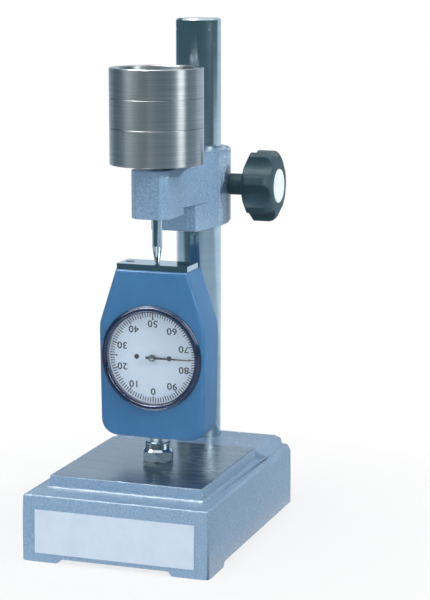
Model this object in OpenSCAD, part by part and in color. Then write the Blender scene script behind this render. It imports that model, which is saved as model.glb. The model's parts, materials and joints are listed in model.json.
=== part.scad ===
// Durometer standing upside down on the table of a dead-weight test stand.
// Millimetres. X to the right, Y to the rear, Z up, origin on the floor under the middle of the outline.

/* [Base] */
// Width of the base at the floor
base_width = 114.5; // [110:0.5:130]
// Depth of the base at the floor
base_depth = 161.8; // [158:0.2:176]
// Inward lean of each side between the floor and the ledge
base_draft = 1.1; // [0.5:0.1:1.8]
// Height of the ledge round the raised pad
ledge_height = 39.2; // [36:0.2:46]
// Height of the table above the ledge
pad_rise = 7.3; // [6.5:0.1:9]
// Width of the raised pad
pad_width = 93.5; // [88:0.5:98]
// Distance from the front of the base to the front of the pad
pad_setback = 18.3; // [15:0.1:21]
// Thickness of the walls of the casting
base_wall = 8; // [6:0.5:9]
// Height of the feet
foot_height = 2.5; // [2:0.1:4]
// Width of a front foot
foot_width = 22.5; // [18:0.5:28]
// Depth of a front foot
foot_depth = 26; // [20:0.5:32]
// Depth of the ground table plate
plate_depth = 95.6; // [90:0.2:98]
// Thickness of the ground table plate
plate_thick = 5; // [4:0.25:5.5]
// Width of the label plate
label_width = 97; // [80:0.5:100]
// Height of the label plate
label_height = 25.5; // [20:0.5:28]

/* [Column] */
// Diameter of the column
column_d = 27.6; // [25:0.1:29]
// Height of the column above the table
column_rise = 258.5; // [240:0.5:290]
// Distance from the rear of the base to the middle of the column
column_inset = 18; // [17.5:0.1:19]

/* [Arm] */
// Distance from the column to the spindle
arm_reach = 71.9; // [70:0.1:75]
// Width of the guide block
block_width = 23.4; // [20:0.2:26]
// Height of the guide block
block_height = 28.4; // [26:0.2:34]
// Height of the guide block above the pressure foot
block_lift = 27.3; // [24:0.1:34]
// Radius of the round back of the arm
boss_radius = 19.8; // [19.2:0.1:22]
// Height of the round back of the arm
boss_height = 46.5; // [43:0.5:52]

/* [Weights] */
// Diameter of the weights
weight_d = 54.9; // [50:0.1:57]
// Height of the lower weight
lower_height = 21.3; // [20:0.1:26]
// Height of the middle weight and of the upper weight
disc_height = 17.2; // [16.5:0.1:22]
// Diameter of the round recess in the top of each weight
recess_d = 44; // [40:0.1:47]
// Diameter of the spindle
spindle_d = 6; // [5.5:0.1:6.5]

/* [Gauge] */
// Greatest width of the gauge housing
gauge_width = 66.5; // [64.6:0.1:70]
// Depth of the gauge housing
gauge_depth = 24.5; // [24:0.1:28]
// Distance from the indenter to the front of the housing
gauge_fore = 11; // [10.8:0.1:12]
// Height of the gauge housing
gauge_height = 100.4; // [97:0.1:104]
// Width of the housing at its pressure foot
gauge_neck = 45; // [44.5:0.1:52]
// Height of the dial centre above the bottom of the housing
dial_rise = 48.5; // [46:0.1:49.5]
// Radius of the dial inside the bezel
dial_radius = 27.4; // [26.5:0.1:27.8]
// Width of the pressure foot
press_width = 44; // [40:0.2:46]
// Depth of the pressure foot
press_depth = 18; // [15:0.2:22]
// Thickness of the pressure foot
press_thick = 3.2; // [3:0.1:5]
// Distance the indenter stands proud of the foot
indenter_proud = 0.625; // [0.3:0.005:1.2]

/* [Stem] */
// Diameter of the stem ring and of the collar
stem_d = 15.5; // [13:0.1:17]
// Height of the stem ring
ring_height = 3.3; // [3:0.1:6]
// Height of the collar
collar_height = 5.8; // [5:0.1:9]
// Height of the hexagon nut on the table
nut_height = 6.1; // [5:0.1:9]
// Size of the hexagon nut across its flats
nut_flats = 17; // [16:0.1:19]

/* [Knob] */
// Diameter of the clamp knob
knob_d = 43.8; // [38:0.2:48]
// Number of lobes on the clamp knob
knob_lobes = 7; // [6:1:8]
// Length of the neck between the arm and the knob
neck_length = 8.7; // [6:0.1:12]

/* [Hidden] */
$fn = 96;

paint = [0.56, 0.68, 0.78];
steel = [0.72, 0.73, 0.74];
chrome = [0.80, 0.82, 0.84];
brass = [0.78, 0.62, 0.30];
case_blue = [0.27, 0.46, 0.66];
black = [0.10, 0.11, 0.12];
white = [0.93, 0.94, 0.96];
clear = [0.85, 0.90, 0.95, 0.35];

// Lengths shared by many pieces
over = 1;
seat = 0.02;
run = 0.04;
edge = 0.5;

// Places of the main axes and levels
label_thick = 0.5;
frame_y = (column_inset + label_thick - knob_d / 2) / 2;
base_front = frame_y - base_depth / 2;
base_rear = frame_y + base_depth / 2;
table_z = ledge_height + pad_rise;
column_r = column_d / 2;
column_y = base_rear - column_inset;
column_top = table_z + column_rise;
spindle_y = column_y - arm_reach;
spindle_r = spindle_d / 2;

// Base
half_w = base_width / 2;
base_edge = 1.6;
front_corner = 3.5;
rear_corner = 8;
pad_front = base_front + pad_setback;
pad_lean = 0.4;
pad_cove = 2.2;
pad_lip = 1;
plate_front = pad_front + pad_lip;
plate_rear = plate_front + plate_depth;
rear_block_drop = 0.8;
rear_block_inset = 4;
rear_block_top = table_z - rear_block_drop;
rear_block_half = half_w - base_draft - rear_block_inset;
rear_round = 8;
blend = 8;
foot_slope = 2;
rear_foot_width = 44;
foot_pad = 8;
roof_thick = 7;
roof_z = table_z - plate_thick - roof_thick;
socket_wall = 7.2;
socket_z = 16;
socket_floor = 8;
table_screw_r = 2.5;
table_head_r = 4.25;
table_head_h = 5;
table_screw_x = 35;
table_screw_inset = 14;
table_screw_tip = 1.5;
bolt_r = 4;
bolt_flats = 13;
bolt_head = 5.3;
bolt_reach = 18;
washer_r = 8.5;
washer_h = 1.6;
label_z = 5.3;
draft_angle = atan(base_draft / ledge_height);

// Column
column_chamfer = 1;
line_drop = 6;
line_height = 0.6;
line_depth = 0.35;

// Gauge levels, from the table up
stem_nut_z = table_z;
stem_collar_z = stem_nut_z + nut_height;
stem_ring_z = stem_collar_z + collar_height;
housing_z = stem_ring_z + ring_height;
dial_z = housing_z + dial_rise;
housing_top = housing_z + gauge_height;
press_top = housing_top + press_thick;
tip_z = press_top + indenter_proud;

// Gauge housing
gauge_front = spindle_y - gauge_fore;
gauge_rear = gauge_front + gauge_depth;
gauge_half = gauge_width / 2;
gauge_taper = 0.7;
shoulder_rise = 18.8;
shoulder_z = dial_z + shoulder_rise;
shoulder_run = 4;
bottom_round = 10;
arc_steps = 6;
front_round = 2.4;
round_steps = 2;
rear_soft = 0.9;
slab = 0.01;
bezel_width = 4;
bezel_depth = 1.4;
bezel_round = 1.2;
lip_width = 0.4;
tube_wall = 0.45;
bezel_fit = 0.05;
disc_fit = 0.1;
cavity_ledge = 1.4;
cover_ledge = 3.4;
bezel_r = dial_radius + bezel_width;
lip_r = dial_radius;
tube_r = dial_radius + lip_width;
spigot_r = tube_r + tube_wall;
seat_r = spigot_r + bezel_fit;
disc_r = seat_r - disc_fit;
cavity_r = dial_radius - cavity_ledge;
cover_r = cavity_r + cover_ledge;
cover_thick = 2;
cover_y = gauge_rear - cover_thick;
bezel_front = gauge_front - bezel_depth;
lip_thick = 0.4;
crystal_thick = 1.2;
dial_sink = 3;
dial_y = gauge_front + dial_sink;
dial_thick = 0.8;
plate_y = dial_y + dial_thick;
movement_thick = 1.3;
seat_y = plate_y + movement_thick;
cover_screw_r = 0.8;
cover_head_r = 1.35;
cover_head_h = 0.8;
cover_screw_pcr = (cavity_r + cover_r) / 2;
cover_screw_len = 6;

// Pressure foot and its screws
foot_screw_r = 1.5;
foot_head_r = 2.9;
foot_screw_inset = 5;
foot_screw_x = press_width / 2 - foot_screw_inset;
foot_screw_len = 8;
drive_r = 0.9;
drive_depth = 0.9;
tip_hole_r = 1.5;

// Stem
stem_stud_r = 4;
stem_stud_len = 11;
stem_groove = 0.6;
stem_chamfer = 1;
collar_flare = 1.5;
nut_crown = 1.6;
nut_turn = 45;

// Indenter, guide bush and load spring
rod_r = 2;
collar_r = 4.2;
collar_h = 2;
collar_drop = 6.1;
collar_z = housing_top - collar_drop;
spring_bore_r = 4.5;
bush_r = 3.2;
flange_r = 4.4;
flange_h = 1;
cavity_top = dial_z + cavity_r;
bush_seat_rise = 4.2;
bush_hang = 0.6;
bush_seat_z = cavity_top + bush_seat_rise;
bush_low_z = cavity_top - bush_hang;
spring_z = bush_seat_z + flange_h;
spring_len = collar_z - spring_z;
spring_r = 3.2;
wire_r = 0.45;
spring_turns = 6;
turn_steps = 18;
wire_sides = 8;
tip_r = 0.625;
tip_flat_r = 0.395;
tip_cone = 0.33;
rod_step_drop = 2.4;
rod_foot_rise = 16.4;
rod_step_z = housing_top - rod_step_drop;
rod_foot_z = dial_z + rod_foot_rise;
carrier_h = 3.5;
carrier_x0 = -2.2;

// Movement between the two plates
bridge_gap = 4.8;
bridge_y = seat_y + bridge_gap;
bridge_thick = 1.2;
wheel_gap = 0.5;
wheel_y = seat_y + wheel_gap;
wheel_thick = 1;
rack_gap = 2.1;
rack_y = seat_y + rack_gap;
rack_thick = 2.2;
wheel_teeth = 60;
wheel_module = 0.25;
pinion_teeth = 12;
wheel_pitch_r = wheel_teeth * wheel_module / 2;
pinion_pitch_r = pinion_teeth * wheel_module / 2;
stroke = 2.5;
train = wheel_teeth / pinion_teeth;
rack_pitch_r = stroke * train / (2 * PI);
rack_pinion_teeth = 20;
rack_pitch = stroke * train / rack_pinion_teeth;
wheel_x = 4.4;
wheel_rise = sqrt(pow(wheel_pitch_r + pinion_pitch_r, 2) - pow(wheel_x, 2));
wheel_z = dial_z + wheel_rise;
rack_line_x = wheel_x - rack_pitch_r;
rack_back = 1.5;
rack_drop = 4.3;
rack_back_x = rack_line_x - rack_back;
rack_low_z = wheel_z - rack_drop;
arbor_r = 0.7;
pivot_r = 0.5;
pivot_run = 0.05;
tooth_up = 0.75;
tooth_down = 1.15;
root_share = 0.58;
tip_share = 0.22;
mesh_angle = atan2(-wheel_rise, -wheel_x);
pinion_turn = mesh_angle + 180 + 180 / pinion_teeth;
pillar_r = 1.6;
pillars = [[-9, -9], [9.5, -8], [15.5, 11]];
bridge_screw_r = 0.7;
bridge_head_r = 1.5;
bridge_head_h = 0.8;
bridge_screw_len = 3.4;

// Dial and pointer
dial_screw_x = 10.2;
dial_screw_r = 0.7;
dial_head_r = 1.45;
dial_head_h = 0.4;
pointer_arbor_r = 0.8;
dial_hole_r = 1.3;
pointer_gap = 1.9;
pointer_y = dial_y - pointer_gap;
pointer_thick = 0.3;
pointer_short = 3.4;
pointer_len = dial_radius - pointer_short;
pointer_root = 0.75;
pointer_end = 0.2;
pointer_tail = 4;
hub_r = 2;
hub_h = 1.1;

// Spindle, weights and arm
tip_gap = 0.05;
spindle_tip_z = tip_z + tip_gap;
spindle_tip_r = 1.5;
spindle_taper = 9.3;
block_z = press_top + block_lift;
block_top = block_z + block_height;
weight_gap = 2.5;
weight_edge = 0.35;
weight_z = block_top + weight_gap;
weight_r = weight_d / 2;
recess_r = recess_d / 2;
disc_floor = 4.4;
lower_floor = 7.6;
recess_deep = disc_height - disc_floor;
lower_recess = lower_height - lower_floor;
spigot_fit = 0.2;
weight_spigot_r = recess_r - spigot_fit;
weight_spigot = 2;
shoulder_r = 5.5;
shoulder_h = 1.2;
stud_r = 2.5;
stud_proud = 4.6;
stud_len = lower_floor + stud_proud;
spindle_nut_flats = 8;
spindle_nut_h = 4;
middle_z = weight_z + lower_height;
upper_z = middle_z + disc_height;
bush_wall = 2;
bush_out_r = spindle_r + bush_wall;
bush_len = 9;
block_half = block_width / 2;
block_fore = 15.2;
block_aft = 13.6;
block_front = spindle_y - block_fore;
block_rear = spindle_y + block_aft;
block_chamfer = 4.2;
boss_over = 6;
boss_z = block_top + boss_over - boss_height;
web_rise = 4;
notch_len = 13.4;
notch_rear = block_rear + notch_len;
raise_gap = 1.6;
raise_y = spindle_y + weight_r + raise_gap;
flank_run = 17.5;
flank_step = 0.4;
flank_y = column_y - flank_run;
flank_half = boss_radius - flank_step;
boss_edge = 1.4;
bore_chamfer = 1;
arm_run = 0.06;

// Clamp knob, along X from the column
clamp_rise = 11.9;
clamp_z = block_z + clamp_rise;
clamp_r = 4;
thread_run = 0.06;
pad_gap = 0.3;
pad_len = 2.2;
pad_r = 3.9;
pad_play = 0.1;
neck_gap = 0.9;
stud_start = column_r + pad_gap + pad_len + pad_play;
neck_start = boss_radius + neck_gap;
neck_r = 6.5;
knob_back = neck_start + neck_length;
knob_r = knob_d / 2;
knob_root_r = 15;
knob_length = 22.4;
knob_root_len = 3.1;
knob_wide_len = 6.6;
knob_shoulder_len = 17.1;
knob_root = knob_back + knob_root_len;
knob_wide = knob_back + knob_wide_len;
knob_shoulder = knob_back + knob_shoulder_len;
knob_front = knob_back + knob_length;
knob_face_r = 12.4;
cap_r = 10.2;
cap_deep = 1;
cap_proud = 0.3;
valley_r = 8.2;
valley_shift = 2.74;
valley_x = knob_r + valley_shift;
stud_grip = 13;
stud_end = knob_back + stud_grip;

// Half width of the arm at a distance along it
function arm_half(y) = block_half + (flank_half - block_half) * (y - block_rear) / (flank_y - block_rear);

// Points of a circular arc
function arc(cx, cy, r, a0, a1, steps) =
    [for (i = [0 : steps])
        [cx + r * cos(a0 + (a1 - a0) * i / steps), cy + r * sin(a0 + (a1 - a0) * i / steps)]];

// A list of points mirrored in the upright axis and put in the other order
function mirrored(p) = [for (i = [len(p) - 1 : -1 : 0]) [-p[i][0], p[i][1]]];

// One side of a cast block, from its foot up
function drafted_side(half, z0, z1, lean, soft, cove) =
    concat(cove > 0 ? [[half + cove, z0 - over]] : [[half, z0]],
        cove > 0 ? arc(half + cove, z0 + cove, cove, 270, 180, arc_steps) : [],
        arc(half - lean - soft, z1 - soft, soft, 0, 90, arc_steps));

// One gear tooth as four points, for a tooth centred on an angle
function tooth(r, m, n, a) =
    let (w = root_share * 180 / n, t = tip_share * 180 / n, ro = r + tooth_up * m, ri = r - tooth_down * m)
    [[ri * cos(a - w), ri * sin(a - w)], [ro * cos(a - t), ro * sin(a - t)],
     [ro * cos(a + t), ro * sin(a + t)], [ri * cos(a + w), ri * sin(a + w)]];

// Outline of a gear with a tooth centred on its first angle
function gear_points(r, m, n, turn) =
    [for (i = [0 : n - 1]) for (q = tooth(r, m, n, turn + 360 * i / n)) q];

// Centre line and section of one ring of points on the spring wire
function wire_ring(i) =
    let (a = 360 * i / turn_steps,
         c = spring_z + wire_r + (spring_len - 2 * wire_r) * i / (spring_turns * turn_steps))
    [for (j = [0 : wire_sides - 1])
        let (b = 360 * j / wire_sides, q = spring_r + wire_r * cos(b))
        [q * cos(a), spindle_y + q * sin(a), c + wire_r * sin(b)]];

// Turns a shape drawn in X and Z so that it runs along Y between two places
module along_y(y0, y1) {
    translate([0, y1, 0])
        rotate([90, 0, 0])
            linear_extrude(y1 - y0)
                children();
}

// Turns a shape drawn in Y and Z so that it runs along X, equally to both sides
module along_x(half) {
    translate([-half, 0, 0])
        rotate([90, 0, 90])
            linear_extrude(2 * half)
                children();
}

// Cylinder along Y between two places
module rod_y(x, z, y0, y1, r) {
    translate([x, y1, z])
        rotate([90, 0, 0])
            cylinder(h = y1 - y0, r = r);
}

// Cylinder along X between two places, on the clamp axis
module rod_x(x0, x1, r) {
    translate([x0, column_y, clamp_z])
        rotate([0, 90, 0])
            cylinder(h = x1 - x0, r = r);
}

// Upright cylinder on the spindle axis
module post(z0, z1, r) {
    translate([0, spindle_y, z0])
        cylinder(h = z1 - z0, r = r);
}

// Upright hexagon with a given size across its flats
module hexagon(flats, h) {
    cylinder(h = h, d = flats / cos(30), $fn = 6);
}

// Block with leaning sides, rounded top edges and a hollow curve round its foot
module drafted_block(half, y0, y1, z0, z1, lean, soft, cove) {
    side = drafted_side(half, z0, z1, lean, soft, cove);
    end = drafted_side((y1 - y0) / 2, z0, z1, lean, soft, cove);
    intersection() {
        along_y(y0 - cove, y1 + cove)
            polygon(concat(side, mirrored(side)));
        along_x(half + cove)
            translate([(y0 + y1) / 2, 0])
                polygon(concat(end, mirrored(end)));
    }
}

// Round-cornered plan of the base
module base_plan() {
    union() {
        translate([-half_w, base_front + front_corner])
            square([base_width, base_depth - front_corner - rear_corner]);
        translate([front_corner - half_w, base_front])
            square([base_width - 2 * front_corner, base_depth / 2]);
        translate([rear_corner - half_w, frame_y])
            square([base_width - 2 * rear_corner, base_depth / 2]);
        for (side = [-1, 1]) {
            translate([side * (half_w - front_corner), base_front + front_corner])
                circle(front_corner);
            translate([side * (half_w - rear_corner), base_rear - rear_corner])
                circle(rear_corner);
        }
    }
}

// Space under the casting between the feet
module foot_arches() {
    inner = half_w - foot_width;
    start = base_front + foot_depth;
    along_y(base_front - over, base_rear + over)
        polygon([[-inner, -over], [inner, -over], [inner, 0], [inner - foot_slope, foot_height],
            [foot_slope - inner, foot_height], [-inner, 0]]);
    along_x(half_w + over)
        polygon([[start, -over], [base_rear + over, -over], [base_rear + over, foot_height],
            [start + foot_slope, foot_height], [start, 0]]);
}

// Hollow of the casting, open below
module base_hollow() {
    inner_w = half_w - base_wall;
    inner_d = base_depth / 2 - base_wall;
    difference() {
        translate([-inner_w, frame_y - inner_d, -over])
            cube([2 * inner_w, 2 * inner_d, roof_z + over]);
        translate([0, column_y, socket_floor])
            cylinder(h = roof_z, r = column_r + socket_wall);
        for (side = [-1, 1])
            translate([side * half_w - foot_width, base_front, -2 * over])
                cube([2 * foot_width, foot_depth, foot_pad + 2 * over]);
    }
}

// Painted block behind the table, with a round rear edge
module rear_block() {
    low = ledge_height - 2 * over;
    back = base_rear - base_draft;
    intersection() {
        along_x(rear_block_half)
            union() {
                polygon([[plate_rear - pad_lip, low], [back, low], [back, rear_block_top - rear_round],
                    [back - rear_round, rear_block_top], [plate_rear - pad_lip, rear_block_top]]);
                translate([back - rear_round, rear_block_top - rear_round])
                    circle(rear_round);
            }
        translate([0, 0, low])
            linear_extrude(rear_block_top)
                polygon([[-pad_width / 2, plate_rear - 2 * pad_lip],
                    [pad_width / 2, plate_rear - 2 * pad_lip],
                    [rear_block_half, plate_rear + blend], [rear_block_half, base_rear - rear_corner],
                    [rear_block_half - rear_corner / 2, base_rear],
                    [rear_corner / 2 - rear_block_half, base_rear],
                    [-rear_block_half, base_rear - rear_corner], [-rear_block_half, plate_rear + blend]]);
    }
}

// Places of the four table screws
module at_table_screws() {
    for (x = [-table_screw_x, table_screw_x])
        for (y = [plate_front + table_screw_inset, plate_rear - table_screw_inset])
            translate([x, y, 0])
                children();
}

// Cast base with feet, table pad, rear block and column socket
module base_casting() {
    color(paint)
        difference() {
            union() {
                difference() {
                    intersection() {
                        drafted_block(half_w, base_front, base_rear, 0, ledge_height, base_draft,
                            base_edge, 0);
                        translate([0, 0, -over])
                            linear_extrude(table_z)
                                base_plan();
                    }
                    foot_arches();
                }
                translate([-rear_foot_width / 2, base_rear - base_wall, 0])
                    cube([rear_foot_width, base_wall - 2 * base_draft, foot_height + over]);
                drafted_block(pad_width / 2 + pad_lean, pad_front - pad_lean, plate_rear + blend,
                    ledge_height, table_z, pad_lean, edge, pad_cove);
                rear_block();
            }
            base_hollow();
            translate([pad_lip - pad_width / 2, plate_front, table_z - plate_thick])
                cube([pad_width - 2 * pad_lip, plate_depth, plate_thick + over]);
            translate([-half_w, plate_rear, rear_block_top])
                cube([base_width, base_depth, pad_rise]);
            translate([0, column_y, socket_z])
                cylinder(h = table_z, r = column_r + seat);
            translate([0, column_y, 0])
                cylinder(h = socket_z + over, r = bolt_r + edge);
            at_table_screws()
                cylinder(h = table_z - plate_thick + over, r = table_screw_r + seat);
        }
}

// Ground steel table let into the pad
module table_plate() {
    wide = pad_width - 2 * pad_lip - 2 * seat;
    color(steel)
        difference() {
            translate([-wide / 2, plate_front + seat, table_z - plate_thick])
                cube([wide, plate_depth - 2 * seat, plate_thick]);
            at_table_screws()
                cylinder(h = table_z - table_screw_tip, r = table_screw_r + seat);
        }
}

// Four cap screws that hold the table from below
module table_screws() {
    color(steel)
        at_table_screws()
            translate([0, 0, roof_z - table_head_h])
                difference() {
                    union() {
                        cylinder(h = table_head_h, r = table_head_r);
                        cylinder(h = table_z - 2 * table_screw_tip - roof_z + table_head_h,
                            r = table_screw_r);
                    }
                    translate([0, 0, -over])
                        hexagon(table_head_r, table_head_h / 2 + over);
                }
}

// Polished round column
module column() {
    color(chrome)
        translate([0, column_y, 0])
            difference() {
                rotate_extrude()
                    polygon([[0, socket_z], [column_r, socket_z],
                        [column_r, column_top - line_drop - line_height],
                        [column_r - line_depth, column_top - line_drop - line_height],
                        [column_r - line_depth, column_top - line_drop], [column_r, column_top - line_drop],
                        [column_r, column_top - column_chamfer], [column_r - column_chamfer, column_top],
                        [0, column_top]]);
                translate([0, 0, socket_z - over])
                    cylinder(h = bolt_reach + 2 * over, r = bolt_r + seat);
            }
}

// Bolt that holds the column from below
module column_bolt() {
    color(steel)
        translate([0, column_y, socket_floor - washer_h - bolt_head]) {
            hexagon(bolt_flats, bolt_head);
            cylinder(h = bolt_head + washer_h + socket_z - socket_floor + bolt_reach, r = bolt_r);
        }
}

// Washer under the column bolt
module column_washer() {
    color(steel)
        translate([0, column_y, socket_floor - washer_h])
            difference() {
                cylinder(h = washer_h, r = washer_r);
                translate([0, 0, -over])
                    cylinder(h = washer_h + 2 * over, r = bolt_r + edge / 2);
            }
}

// Blank label plate on the front of the base
module label_plate() {
    color(white)
        translate([0, base_front, 0])
            rotate([-draft_angle, 0, 0])
                translate([-label_width / 2, -label_thick - seat, label_z])
                    cube([label_width, label_thick, label_height]);
}

// Front outline of the gauge housing
module gauge_outline() {
    low_half = gauge_half - gauge_taper;
    right = concat([[gauge_neck / 2, housing_top], [gauge_half - shoulder_run / 3, shoulder_z + shoulder_run],
            [gauge_half - shoulder_run / 12, shoulder_z + shoulder_run / 4],
            [gauge_half, shoulder_z - shoulder_run]],
        arc(low_half - bottom_round, housing_z + bottom_round, bottom_round, 0, -90, arc_steps));
    polygon(concat(right, mirrored(right)));
}

// Thin slice of the housing, a given distance inside its outline
module gauge_slice(y, inset) {
    along_y(y, y + slab)
        offset(delta = -inset)
            gauge_outline();
}

// Places of the screws in the rear cover
module at_cover_screws() {
    for (a = [45 : 90 : 315])
        translate([cover_screw_pcr * cos(a), 0, dial_z + cover_screw_pcr * sin(a)])
            children();
}

// Cast housing of the gauge
module gauge_housing() {
    color(case_blue)
        difference() {
            hull() {
                for (a = [0 : 90 / round_steps : 90])
                    gauge_slice(gauge_front + front_round * (1 - cos(a)), front_round * (1 - sin(a)));
                gauge_slice(gauge_rear - rear_soft - slab, 0);
                gauge_slice(gauge_rear - slab, rear_soft);
            }
            rod_y(0, dial_z, gauge_front - over, seat_y, seat_r);
            rod_y(0, dial_z, gauge_front, cover_y + over, cavity_r);
            rod_y(0, dial_z, cover_y, gauge_rear + over, cover_r + seat);
            post(bush_seat_z, housing_top + over, spring_bore_r);
            post(dial_z, bush_seat_z + over, bush_r + seat);
            for (side = [-1, 1])
                translate([side * foot_screw_x, 0, 0])
                    post(housing_top - foot_screw_len, housing_top + over, foot_screw_r + seat);
            post(housing_z - over, housing_z + stem_stud_len + over, stem_stud_r + seat);
            at_cover_screws()
                rod_y(0, 0, cover_y - cover_screw_len, cover_y + over, cover_screw_r + seat);
        }
}

// Round cover on the rear of the housing
module rear_cover() {
    color(case_blue)
        difference() {
            rod_y(0, dial_z, cover_y, gauge_rear, cover_r);
            at_cover_screws()
                rod_y(0, 0, cover_y - over, gauge_rear + over, cover_screw_r + seat);
        }
}

// Four screws of the rear cover
module cover_screws() {
    color(steel)
        at_cover_screws()
            difference() {
                union() {
                    rod_y(0, 0, cover_y - cover_screw_len + over, gauge_rear + edge, cover_screw_r);
                    rod_y(0, 0, gauge_rear, gauge_rear + cover_head_h, cover_head_r);
                }
                translate([-cover_head_r, gauge_rear + cover_head_h / 2, -cover_head_r / 8])
                    cube([2 * cover_head_r, over, cover_head_r / 4]);
            }
}

// Flat pressure foot with a hole for the indenter
module pressure_foot() {
    color(steel)
        difference() {
            translate([-press_width / 2, spindle_y - press_depth / 2, housing_top])
                cube([press_width, press_depth, press_thick]);
            post(housing_top - over, press_top + over, tip_hole_r);
            for (side = [-1, 1])
                translate([side * foot_screw_x, 0, 0]) {
                    post(housing_top - over, press_top + over, foot_screw_r + seat);
                    translate([0, spindle_y, press_top + seat - foot_head_r + foot_screw_r])
                        cylinder(h = foot_head_r - foot_screw_r, r1 = foot_screw_r + seat,
                            r2 = foot_head_r + seat);
                }
        }
}

// Two countersunk screws of the pressure foot
module foot_screws() {
    cone_h = foot_head_r - foot_screw_r;
    color(steel)
        for (side = [-1, 1])
            translate([side * foot_screw_x, spindle_y, 0])
                difference() {
                    union() {
                        translate([0, 0, housing_top - foot_screw_len + over])
                            cylinder(h = foot_screw_len - over + press_thick - cone_h + seat,
                                r = foot_screw_r);
                        translate([0, 0, press_top - cone_h])
                            cylinder(h = cone_h, r1 = foot_screw_r, r2 = foot_head_r);
                    }
                    translate([-foot_head_r, -drive_r / 3, press_top - drive_depth])
                        cube([2 * foot_head_r, drive_r * 2 / 3, drive_depth + over]);
                }
}

// Bezel ring with its spigot, drawn as a turned section
module bezel() {
    rim = arc(bezel_r - bezel_round, bezel_depth - bezel_round, bezel_round, 0, 90, arc_steps);
    foot = gauge_front - dial_y + seat;
    color(black)
        translate([0, gauge_front, dial_z])
            rotate([90, 0, 0])
                rotate_extrude()
                    polygon(concat([[tube_r, foot], [spigot_r, foot], [spigot_r, 0], [bezel_r, 0]], rim,
                        [[lip_r + edge, bezel_depth], [lip_r, bezel_depth - lip_thick / 2],
                         [lip_r, bezel_depth - lip_thick], [tube_r, bezel_depth - lip_thick]]));
}

// Clear round window
module crystal() {
    color(clear)
        rod_y(0, dial_z, bezel_front + lip_thick + seat, bezel_front + lip_thick + seat + crystal_thick,
            tube_r - seat);
}

// White dial
module dial_plate() {
    color(white)
        difference() {
            rod_y(0, dial_z, dial_y, plate_y, disc_r);
            rod_y(0, dial_z, dial_y - over, plate_y + over, dial_hole_r);
            for (side = [-1, 1])
                rod_y(side * dial_screw_x, dial_z, dial_y - over, plate_y + over, dial_screw_r + seat);
        }
}

// Two screws that hold the dial
module dial_screws() {
    color(black)
        for (side = [-1, 1])
            difference() {
                union() {
                    rod_y(side * dial_screw_x, dial_z, dial_y - dial_head_h, dial_y, dial_head_r);
                    rod_y(side * dial_screw_x, dial_z, dial_y - dial_head_h / 2, seat_y, dial_screw_r);
                }
                translate([side * dial_screw_x - dial_head_r, dial_y - dial_head_h - over,
                    dial_z - dial_head_h / 2])
                    cube([2 * dial_head_r, over + dial_head_h / 2, dial_head_h]);
            }
}

// Front plate of the movement, seated in the housing
module movement_plate() {
    color(brass)
        difference() {
            rod_y(0, dial_z, plate_y, seat_y, disc_r);
            rod_y(0, dial_z, plate_y - over, seat_y + over, pointer_arbor_r + pivot_run);
            rod_y(wheel_x, wheel_z, plate_y - over, seat_y + over, pivot_r + pivot_run);
            for (side = [-1, 1])
                rod_y(side * dial_screw_x, dial_z, plate_y - over, seat_y + over, dial_screw_r + seat);
        }
}

// Rear plate of the movement
module movement_bridge() {
    color(brass)
        difference() {
            union() {
                along_y(bridge_y, bridge_y + bridge_thick)
                    translate([0, dial_z])
                        polygon([for (p = pillars) p]);
                for (p = pillars)
                    rod_y(p[0], dial_z + p[1], bridge_y, bridge_y + bridge_thick, 2 * pillar_r);
                rod_y(0, dial_z, bridge_y, bridge_y + bridge_thick, 2 * pillar_r);
                rod_y(wheel_x, wheel_z, bridge_y, bridge_y + bridge_thick, 2 * pillar_r);
            }
            rod_y(0, dial_z, bridge_y - over, bridge_y + bridge_thick + over, pivot_r + pivot_run);
            rod_y(wheel_x, wheel_z, bridge_y - over, bridge_y + bridge_thick + over, pivot_r + pivot_run);
            for (p = pillars)
                rod_y(p[0], dial_z + p[1], bridge_y - over, bridge_y + bridge_thick + over,
                    bridge_screw_r + seat);
        }
}

// Three pillars between the plates
module bridge_pillars() {
    color(brass)
        for (p = pillars)
            difference() {
                rod_y(p[0], dial_z + p[1], seat_y, bridge_y, pillar_r);
                rod_y(p[0], dial_z + p[1], bridge_y - bridge_screw_len + over, bridge_y + over,
                    bridge_screw_r + seat);
            }
}

// Three screws of the bridge
module bridge_screws() {
    back = bridge_y + bridge_thick;
    color(steel)
        for (p = pillars) {
            rod_y(p[0], dial_z + p[1], back, back + bridge_head_h, bridge_head_r);
            rod_y(p[0], dial_z + p[1], back + edge - bridge_screw_len, back + edge, bridge_screw_r);
        }
}

// Flanged bush that guides the indenter rod and carries the spring
module guide_bush() {
    color(brass)
        difference() {
            union() {
                post(bush_low_z, spring_z, bush_r);
                post(bush_seat_z, spring_z, flange_r);
            }
            post(bush_low_z - over, spring_z + over, rod_r + run);
        }
}

// Coil spring round the indenter rod
module load_spring() {
    rings = spring_turns * turn_steps;
    last = rings * wire_sides;
    points = [for (i = [0 : rings]) for (p = wire_ring(i)) p];
    sides = [for (i = [0 : rings - 1]) for (j = [0 : wire_sides - 1])
        let (k = (j + 1) % wire_sides)
        [i * wire_sides + j, (i + 1) * wire_sides + j, (i + 1) * wire_sides + k, i * wire_sides + k]];
    color(steel)
        polyhedron(points, concat(sides, [[for (j = [0 : wire_sides - 1]) j]],
            [[for (j = [wire_sides - 1 : -1 : 0]) last + j]]));
}

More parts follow.
